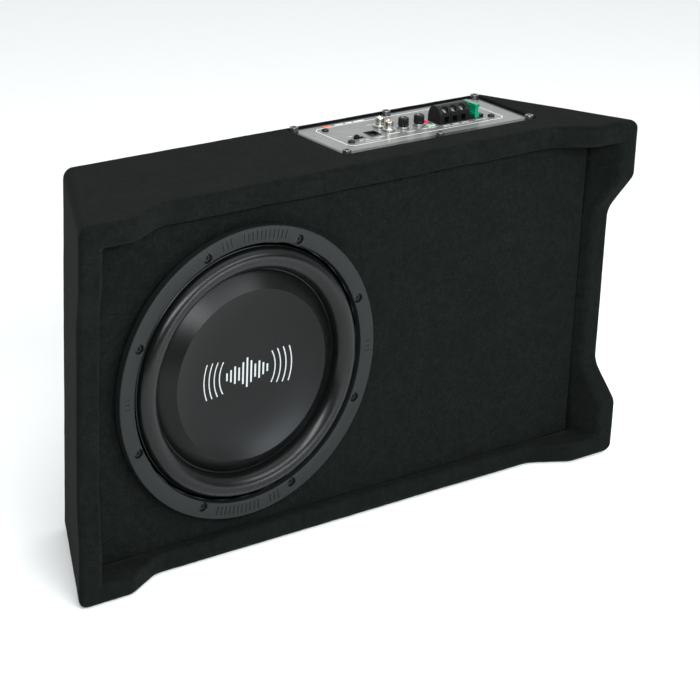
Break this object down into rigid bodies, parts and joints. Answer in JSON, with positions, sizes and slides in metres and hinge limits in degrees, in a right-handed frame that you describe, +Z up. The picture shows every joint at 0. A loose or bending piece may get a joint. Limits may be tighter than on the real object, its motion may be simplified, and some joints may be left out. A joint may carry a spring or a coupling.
{
  "type": "powered car subwoofer",
  "caption": "Carpeted sealed box with slanted sides and corner feet, a shallow front driver, and a built-in amplifier plate with controls and terminals on top.",
  "frame": {"origin": "middle of the box's footprint, on the surface that it stands on", "axes": "+Z up, standing on its long bottom side; +X to the right as seen from the driver's side; the driver faces -Y"},
  "size_m": [0.604, 0.146, 0.3475],
  "materials": {
    "carpet": "needle-punched automotive carpet, charcoal",
    "board": "medium density fibreboard, bare",
    "ring": "satin dark grey paint",
    "rubber": "moulded rubber, satin",
    "cone": "satin grey polypropylene",
    "foam": "closed-cell foam gasket",
    "frame": "black powder coat",
    "screw": "black oxide steel",
    "steel": "bright zinc or nickel plate",
    "ferrite": "sintered ferrite, matt",
    "copper": "enamelled copper wire",
    "cloth": "resin-stiffened cotton",
    "plate": "silver-grey satin paint",
    "circuit": "glass-epoxy board with solder mask",
    "black_plastic": "fine moulded texture",
    "white_plastic": "gloss",
    "orange_plastic": "gloss",
    "green_plastic": "translucent green",
    "pink_plastic": "translucent red lens",
    "pale_green": "pale green plastic"
  },
  "bodies": {
    "box": {"top_panel": "board", "bottom_panel": "board", "left_panel": "board", "right_panel": "board", "back_panel": "board", "front_baffle": "board", "carpet_wrap": "carpet", "carpet_back": "carpet", "carpet_baffle": "carpet", "trim_ring": "ring", "driver_gasket": "foam", "driver_basket": "frame", "surround": "rubber", "spider": "cloth", "top_plate": "steel", "magnet": "ferrite", "yoke": "steel", "driver_terminal": "black_plastic", "plate_gasket": "foam", "amp_plate": "plate", "amp_housing": "frame", "amp_board": "circuit", "toroid": "copper", "speaker_lead": "rubber", "rca_sleeve_left": "steel", "rca_sleeve_right": "steel", "rca_insert_left": "white_plastic", "rca_insert_right": "orange_plastic", "pot_gain": "steel", "pot_crossover": "steel", "switch_body": "black_plastic", "remote_socket": "black_plastic", "status_led": "pink_plastic", "level_socket": "pale_green", "terminal_block": "black_plastic", "fuse_holder": "black_plastic", "ring_screw_1": "screw", "ring_screw_2": "screw", "ring_screw_3": "screw", "ring_screw_4": "screw", "ring_screw_5": "screw", "ring_screw_6": "screw", "ring_screw_7": "screw", "ring_screw_8": "screw", "plate_screw_1": "screw", "plate_screw_2": "screw", "plate_screw_3": "screw", "plate_screw_4": "screw", "plate_screw_5": "screw", "plate_screw_6": "screw"},
    "cone_assembly": {"cone": "cone", "dust_cap": "cone", "voice_coil": "copper"},
    "gain_knob": {"knob_gain": "black_plastic"},
    "crossover_knob": {"knob_crossover": "black_plastic"},
    "switch_slider": {"switch_lever": "black_plastic"},
    "blade_fuse": {"fuse": "green_plastic"},
    "clamp_screw_1": {"terminal_screw_1": "steel"},
    "clamp_screw_2": {"terminal_screw_2": "steel"},
    "clamp_screw_3": {"terminal_screw_3": "steel"}
  },
  "joints": [
    {"name": "cone_travel", "type": "slide", "parent": "box", "child": "cone_assembly", "axis": [0, -1, 0], "range_m": [-0.008, 0.008], "stiffness_N_per_m": 4000, "deforming": ["surround", "spider"]},
    {"name": "gain_turn", "type": "hinge", "parent": "box", "child": "gain_knob", "pos_m": [0.0968, 0.0222, 0.3335], "axis": [0, 0, -1], "range_deg": [-140, 140]},
    {"name": "crossover_turn", "type": "hinge", "parent": "box", "child": "crossover_knob", "pos_m": [0.1148, 0.0222, 0.3335], "axis": [0, 0, -1], "range_deg": [-140, 140]},
    {"name": "switch_slide", "type": "slide", "parent": "box", "child": "switch_slider", "axis": [1, 0, 0], "range_m": [0, 0.004]},
    {"name": "fuse_pull", "type": "slide", "parent": "box", "child": "blade_fuse", "axis": [0, 0, 1], "range_m": [0, 0.02]},
    {"name": "clamp_screw_1_turn", "type": "hinge", "parent": "box", "child": "clamp_screw_1", "pos_m": [0.1394, 0.0169, 0.3429], "axis": [0, -0.6428, 0.766], "continuous": true},
    {"name": "clamp_screw_2_turn", "type": "hinge", "parent": "box", "child": "clamp_screw_2", "pos_m": [0.1493, 0.0169, 0.3429], "axis": [0, -0.6428, 0.766], "continuous": true},
    {"name": "clamp_screw_3_turn", "type": "hinge", "parent": "box", "child": "clamp_screw_3", "pos_m": [0.1592, 0.0169, 0.3429], "axis": [0, -0.6428, 0.766], "continuous": true}
  ]
}
